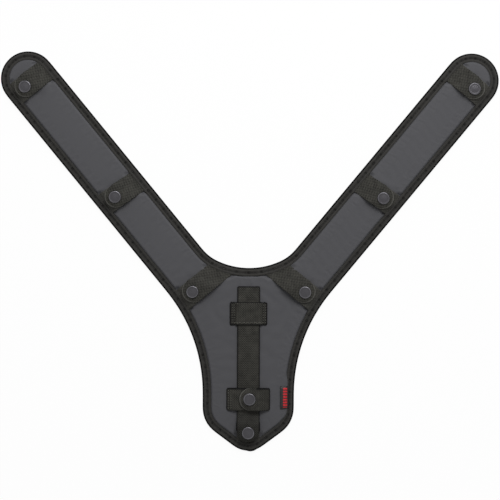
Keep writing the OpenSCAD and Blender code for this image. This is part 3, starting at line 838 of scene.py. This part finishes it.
def blendOver(item, place, into):  # works out points before and past the fold line, unused, and bakes the piece's placement into its mesh
    start, end = (place + into.to_3d() * reach * mm for reach in (-1, 6))
    tuple(start)
    tuple(end)
    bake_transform(item)


def armFlap(key, snap, run):
    side = run.orthogonal()
    place, into, reach = foldOf(f"{key}_keeper_opens", snap)

    def startAt(v):
        return -(into.dot(snap + side * v - place.xy) + web["tuck"]) / into.dot(run)

    def height(p, u, v):
        ripple = web["ripple"] * noise.noise(Vector((*(p * ripplesPerMetre), 2)))
        high = rise(into.dot(p - place.xy), rootHigh, flapHigh, reach - web["flapLevel"])
        return high + ripple - droop(p, u, snap)

    # its round end gets a painted sheen, from the default edges
    flap = strip(f"flap_{key}_webbing", snap, run, startAt,
                 lambda v: roundEnd(v, web["flapPast"]), height)
    blendOver(flap, place, into)
    finishPiece(flap, None, "webbing", f"flap_{key}")


def armTab(key, snap, run):  # comes the other way, from under the outer binding to past the stud
    side = run.orthogonal()
    reachOut = 0
    while edgeDistance(*(snap - run * reachOut)) > web["seam"]:
        reachOut += 0.1 * mm
    seam = snap - run * reachOut
    nearest = rim[rimTree.find((seam.x, seam.y, 0))[1]]
    square = Vector(seam - Vector(nearest)).normalized()
    level = square.dot(snap - seam) - web["tabLevel"]

    def startAt(v):
        p = snap + side * v
        u = 0
        while edgeDistance(p.x + run.x * u, p.y + run.y * u) > web["tabIn"]:
            u -= 0.2 * mm
        return u

    def height(p, u, v):
        high = tabHigh + web["tabCurl"] * pastSnap(p, snap)
        return rise(edgeDistance(p.x, p.y) - web["seam"], rootHigh, high, level)

    # painted light over the whole tab, to lift the shade the flap casts on it
    tab = strip(f"tab_{key}_webbing", snap, run, startAt, lambda v: tabEnd, height, rows=18,
                cols=13, edges=(0, 0, 0), shade=lambda u, v: 0.2)
    finishPiece(tab, "root", "tab_webbing", f"tab_{key}")


for key, (snap, run) in keepers.items():
    armFlap(key, snap, run)
    armTab(key, snap, -run)
print("arm keepers made")

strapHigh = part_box("centre_strap")[1]
tailSnap = centreOf("cap_tail")
tailPlace, tailInto, tailReach = foldOf("tail_opens", tailSnap)
tail = inMm(corner=1.4, shadeStart=24, shadeWidth=7, tabSpan=5.8)


def strapHeight(p, u, v):
    level = tailReach - web["tailLevel"]
    return rise(max(tailPlace.y - p.y, 0), strapHigh.z, flapHigh, level) - droop(p, u, tailSnap)


def keeperShadowPaint(u, v):  # painted shadow of the lower keeper, darker from the keeper down
    return -0.42 * ease((u + tail["shadeStart"]) / tail["shadeWidth"])


# painted shade along its sides and top end, a faint painted sheen at its tail end, and the keeper's
# painted shadow
strap = strip("centreStrap", Vector((0, tailSnap.y)), down,
              lambda v: tailSnap.y - strapHigh.y + corner(v, tail["corner"]),
              lambda v: roundEnd(v, web["tailPast"]), strapHeight, rows=130, cols=17,
              edges=(-1, -1, 0.2), shade=keeperShadowPaint)
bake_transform(strap)
finishPiece(strap, None, "webbing", "centre_strap", "strap_tail")


def tailTabHeight(p, u, v):
    return rise(edgeDistance(p.x, p.y) - web["seam"], rootHigh, tabHigh, tail["tabSpan"])


# its sides are painted a little lighter
tailTab = strip("tailTabWebbing", tailSnap, -down,
                lambda v: -(tailSnap.y - rim[:, 1].min()) + web["tabIn"], lambda v: tabEnd,
                tailTabHeight, rows=16, cols=13, edges=(0.3, 0, 0))
finishPiece(tailTab, "root", "tab_webbing", "tail_tab")

patchLow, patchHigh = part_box("anchor_patch")
patch = inMm(inset=0.3, overStrap=13.6, step=0.45, corner=1.5, seamDepth=0.35, boxHalf=10.6,
             tooth=1.7)
patchSeams = (-15.2, -17.6, 15.6, 18)
patchHalf = (patchHigh.x - patchLow.x) / 2 - patch["inset"]
patchFoot = patchLow.z + thick - patch["inset"]  # height of its sewn ends


def patchHeight(p, u=0, v=0):
    over = 1 / (1 + exp((abs(p.x) - patch["overStrap"]) / patch["step"]))
    sewn = sum(exp(-((p.x / mm - x) / 0.5) ** 2) for x in patchSeams)
    return patchFoot + (patchHigh.z - patchFoot) * over - patch["seamDepth"] * sewn


def patchShade(u, v):  # dark along its seams: the thread's black, with painted shade in the seam grooves
    return -max(exp(-((u / mm - x) / 0.6) ** 4) for x in patchSeams)


patchMid = Vector((0, centreOf("anchor_patch").y))
# painted shade round all its edges, and along its seams
anchor = strip("anchorPatchWebbing", patchMid, Vector((1, 0)),
               lambda v: -patchHalf + corner(v, patch["corner"]),
               lambda v: patchHalf - corner(v, patch["corner"]), patchHeight,
               rows=90, cols=17, edges=(-1, -1, -1), shade=patchShade)
finishPiece(anchor, "root", "tab_webbing", "anchor_patch")

lowKeeper = inMm(corner=2.2, seamIn=1.5, tabSpan=11.2, edgeDark=2.2, edgeFade=0.9, rootDark=7,
                 firstRow=1.6, secondRow=4.4)
lowSnap = centreOf("cap_lower_keeper")
lowPlace, lowInto, lowReach = foldOf("lower_keeper_opens", lowSnap)
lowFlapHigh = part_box("lower_keeper_flap")[1].z
lowTabLow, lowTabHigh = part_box("lower_keeper_tab")
lowTabSeam = lowTabLow.x + lowKeeper["seamIn"]


def upperEdge(v):  # the upper side's edge is painted dark
    return -ease((v - halfWeb + lowKeeper["edgeDark"]) / lowKeeper["edgeFade"])


def lowFlapHeight(p, u, v):
    past = lowInto.dot(p - lowPlace.xy)
    high = rise(past, strapHigh.z, lowFlapHigh, lowReach - web["flapLevel"])
    return high - droop(p, u, lowSnap)


def lowTabHeight(p, u=0, v=0):
    return rise(p.x - lowTabSeam, strapHigh.z, lowTabHigh.z, lowKeeper["tabSpan"])


# painted shade along its sides and root, a painted sheen at its round end, and the upper edge
# painted dark
lowFlap = strip("lowerKeeperFlapWebbing", lowSnap, Vector((-1, 0)),
                lambda v: -lowReach + corner(v, lowKeeper["corner"]),
                lambda v: roundEnd(v, web["flapPast"]), lowFlapHeight, edges=(-0.3, -0.8, 1),
                shade=lambda u, v: upperEdge(-v) if u < -lowKeeper["rootDark"] else 0)
blendOver(lowFlap, lowPlace, lowInto)
finishPiece(lowFlap, None, "webbing", "lower_keeper_flap")

# painted shade along its sides and sewn end, and the upper edge painted dark
lowTab = strip("lowerKeeperTabWebbing", lowSnap, Vector((1, 0)),
               lambda v: lowTabSeam - lowSnap.x + corner(v, lowKeeper["corner"]),
               lambda v: lowTabHigh.x - lowSnap.x - edgeBulge * thick, lowTabHeight,
               rows=22, edges=(-0.3, -0.8, 0), shade=lambda u, v: upperEdge(v))
finishPiece(lowTab, "root", "tab_webbing", "lower_keeper_tab")

label = inMm(thick=0.5, above=0.75, lift=0.35, curl=0.15)


def labelStrip():
    rows, cols, half = 12, 9, (labelHigh.y - labelLow.y) / 2
    top, uv = np.zeros((rows, cols, 3)), np.zeros((rows, cols, 2))
    root = labelHigh.x + web["tuck"]
    for i, share in enumerate(np.linspace(0, 1, rows)):
        x = root - share * (root - labelLow.x)
        lift = clamp((labelHigh.x - x) / (labelHigh.x - labelLow.x))
        for j, v in enumerate(np.linspace(-half, half, cols)):
            z = padTop(x, labelMid.y + v) + label["above"] + label["lift"] * lift
            z += label["curl"] * sin(v / half * 2.2 + 0.6) * lift
            top[i, j] = (x, labelMid.y + v, z)
            uv[i, j] = ((labelHigh.x - x) / mm, v / mm)
    return clothStrip("edgeLabelRibbon", top, uv, label["thick"], ribbon)


finishPiece(labelStrip(), "root", "label_tape", "edge_label")
print("straps, lower keeper and label made")

# binding round the edge, lifted where webbing goes in under it

binding = dict(
    middle=2.6, thick=0.6, lift=1.15, liftStart=3, liftWidth=3, liftSide=3.4,
    pucker=0.45, drift=0.12, driftSize=9, grooveWidth=1.1, grooveHigh=4.45,
    backStart=5.5, backWidth=3.6,  # where across the tape it gives way to the label
    join=4.4, joinWidth=4.4, joinHigh=0.35, joinOut=0.9,  # its ends lap there
    stitchInset=5.3, stitchPitch=3.4, stitchSpan=(0.1, 0.78), stitchUp=0.12)
section = (  # upper half of the folded tape: distance in from the edge and height, in mm
    (leaf["width"], 4.3), (8.8, 4.75), (8.2, 4.9), (7.6, 4.95), (6.8, 4.85), (6, 4.6),
    (5.4, 4.45), (4.8, 4.55), (4, 4.82), (3.1, 4.95), (2.2, 4.85), (1.3, 4.5), (0.6, 3.9),
    (0.15, 3.2), (0, 2.6))
lifts = np.array([underWebbing(x, y, binding["liftSide"] * mm) for x, y in rim])
drift = np.array([noise.noise(Vector((run / binding["driftSize"], 4.1, 0))) for run in rimRun])
pucker = np.cos(2 * pi * (rimRun / cloth["puckerPitch"] + binding["drift"] * drift)) ** 2


def lipShare(inset):  # how much of the lift over webbing reaches so far in from the edge
    return clamp((inset - binding["liftStart"]) / binding["liftWidth"])


def tapeProfile():  # closed section of the tape: inset, height, side, and distance from the fold
    middle, turns = binding["middle"], len(section) - 1
    outer = np.array(section + tuple((i, 2 * middle - z) for i, z in section[-2::-1]))
    step = np.gradient(outer, axis=0)
    step /= norm(step, axis=1)[:, None]
    inner = outer + step[:, ::-1] * (-1, 1) * binding["thick"]
    runs = np.cumsum([0, *norm(np.diff(outer, axis=0), axis=1)])
    runs = runs[turns] - runs
    ways = [1] * (turns + 1) + [-1] * turns
    return zip([*outer, *inner[::-1]], ways + ways[::-1], [*runs, *runs[::-1]])


def makeBinding():
    backs = [leafBack(x, y) for x, y in rim]
    ring, rimLength = len(rim), len(rim) * rimStep / mm
    verts, uvs, faces = [], [], []
    for (i, z), way, v in tapeProfile():
        groove = exp(-((i - binding["stitchInset"]) / binding["grooveWidth"]) ** 2)
        giving = clamp((i - binding["backStart"]) / binding["backWidth"])
        for p, q, lift, dent, back, run in zip(rim, inward, lifts, pucker, backs, rimRun):
            fromJoin = min(run, run - rimLength, key=abs) - binding["join"]
            join = exp(-(fromJoin / binding["joinWidth"]) ** 4)
            height = z + (lift * binding["lift"] * lipShare(i) if way > 0 else 0)
            height -= way * groove * binding["pucker"] * dent
            height += way * binding["joinHigh"] * join * min(1, i)
            depth = i - back * giving - binding["joinOut"] * join * max(0, 1 - i / 3)
            x, y = p + q * depth * mm
            verts.append((x, y, height * mm))
            uvs.append((run, v))
    for a in range(0, len(verts), ring):
        b = (a + ring) % len(verts)
        for k in range(ring):
            after = (k + 1) % ring
            faces.append((a + k, b + k, b + after, a + after))
    return addObject("edgeBindingTape", verts, faces, tape, uvs)


def bindingThread():
    count = int(len(rim) * rimStep / mm / binding["stitchPitch"])
    rows = insetRow(binding["stitchInset"] * mm)
    middle, runs = binding["middle"], []
    for s in range(count):
        for way in (1, -1):
            ends = []
            for share in binding["stitchSpan"]:
                place = (s + share) * len(rim) / count
                i = int(place) % len(rim)
                t = place - int(place)
                x, y = rows[i] * (1 - t) + rows[(i + 1) % len(rim)] * t
                dent = pucker[i] * binding["pucker"]
                z = middle + way * (binding["grooveHigh"] - middle - dent + binding["stitchUp"])
                if way > 0:
                    z += lifts[i] * binding["lift"] * lipShare(binding["stitchInset"])
                ends.append((x, y, z * mm))
            runs.append((*ends, (0, 0, way)))
    return stitches("bindingStitches", runs, blackThread, thread["seamRadius"])


finishPiece(makeBinding(), "root", "binding_tape", "edge_binding")
finishPiece(bindingThread(), "root", "binding_tape")


def stitch(a, b, height):
    return (a.x, a.y, height(a)), (b.x, b.y, height(b)), (0, 0, 1)


def threadLine(start, end, height, pitch=thread["boxPitch"]):  # stitches along a line
    start, end = Vector(start), Vector(end)
    count = max(1, int((end - start).length / pitch))
    return [stitch(start.lerp(end, (s + 0.08) / count), start.lerp(end, (s + 0.8) / count), height)
            for s in range(count)]


def sewnPieces():
    left, right = patchSeams[0] * mm, patchSeams[2] * mm
    half, tooth, count = patch["boxHalf"], patch["tooth"], 15
    low, high = patchMid.y - half, patchMid.y + half
    runs = []

    def patchTop(p):
        return patchHeight(p) + 0.08 * mm

    def tabTop(p):
        return lowTabHeight(p) + 0.04 * mm

    for x in patchSeams:
        runs += threadLine((x * mm, low), (x * mm, high), patchTop)
    for s in range(count):  # zigzag along the lower edge
        a = Vector((left + (right - left) * s / count, low + (tooth if s % 2 else 0)))
        b = Vector((left + (right - left) * (s + 0.9) / count, low + (0 if s % 2 else tooth)))
        runs.append(stitch(a, b, patchTop))
    runs += threadLine((left, high), (right, high), patchTop, thread["topPitch"])
    for row in ("firstRow", "secondRow"):
        x = lowTabSeam + lowKeeper[row]
        runs += threadLine((x, lowSnap.y - half), (x, lowSnap.y + half), tabTop)
    return stitches("patchStitches", runs, highlightedHeavyThread, thread["boxRadius"])


finishPiece(sewnPieces(), "root", "tab_webbing")
print("binding and stitching made")

# snap fasteners: domed caps turned from a drawn profile; the parts below keep their solids

cap = dict(width=13.5, height=2.2, sides=56)
capProfile = (  # radius and height in mm, from the middle of the top to the middle of the underside
    (0, 2.05), (1.6, 2.02), (3.2, 1.94), (4.2, 1.88), (4.8, 1.88), (5.2, 1.93), (5.6, 1.96),
    (5.95, 1.87), (6.25, 1.62), (6.5, 1.2), (6.66, 0.7), (6.75, 0.3), (6.7, 0.06), (6.3, 0.02),
    (5.6, 0.3), (3, 0.35), (0, 0.35))


def makeCap(name, body):
    low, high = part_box(f"cap_{name}")
    centre, base = centreOf(f"cap_{name}"), high.z - cap["height"] * mm
    scale, sides = (high.x - low.x) / (cap["width"] * mm), cap["sides"]
    rings = capProfile[1:-1]
    verts = [(centre.x, centre.y, base + capProfile[0][1] * mm)]
    for r, z in rings:
        for k in range(sides):
            a = 2 * pi * k / sides
            verts.append((centre.x + r * scale * mm * cos(a),
                          centre.y + r * scale * mm * sin(a), base + z * mm))
    verts.append((centre.x, centre.y, base + capProfile[-1][1] * mm))
    last = len(verts) - 1
    faces = []
    for k in range(sides):
        after = (k + 1) % sides
        faces.append((0, 1 + k, 1 + after))
        faces.append((last, last - sides + after, last - sides + k))
        for a in range(1, last - sides, sides):
            faces.append((a + k, a + sides + k, a + sides + after, a + after))
    radii = [(0, 0), *((r, 0) for r, z in rings for k in range(sides)), (0, 0)]
    item = addObject(f"snapCap_{name}", verts, faces, capMetal, radii)
    finishPiece(item, body, "cap_metal", f"cap_{name}")


for name in keepers:
    makeCap(name, f"{name}_keeper")
makeCap("lower_keeper", "lower_keeper")
makeCap("tail", "tail")

finishes = dict(cap=capMetal, socket=snapMetal, stud=snapMetal, spring=springWire)
for name, item in frame["nodes"].items():
    finish = finishes.get(name.split("_")[0])
    if finish:
        item.data.materials.clear()
        item.data.materials.append(finish)
        item.data.polygons.foreach_set("use_smooth", [True] * len(item.data.polygons))
print("snap fasteners finished")
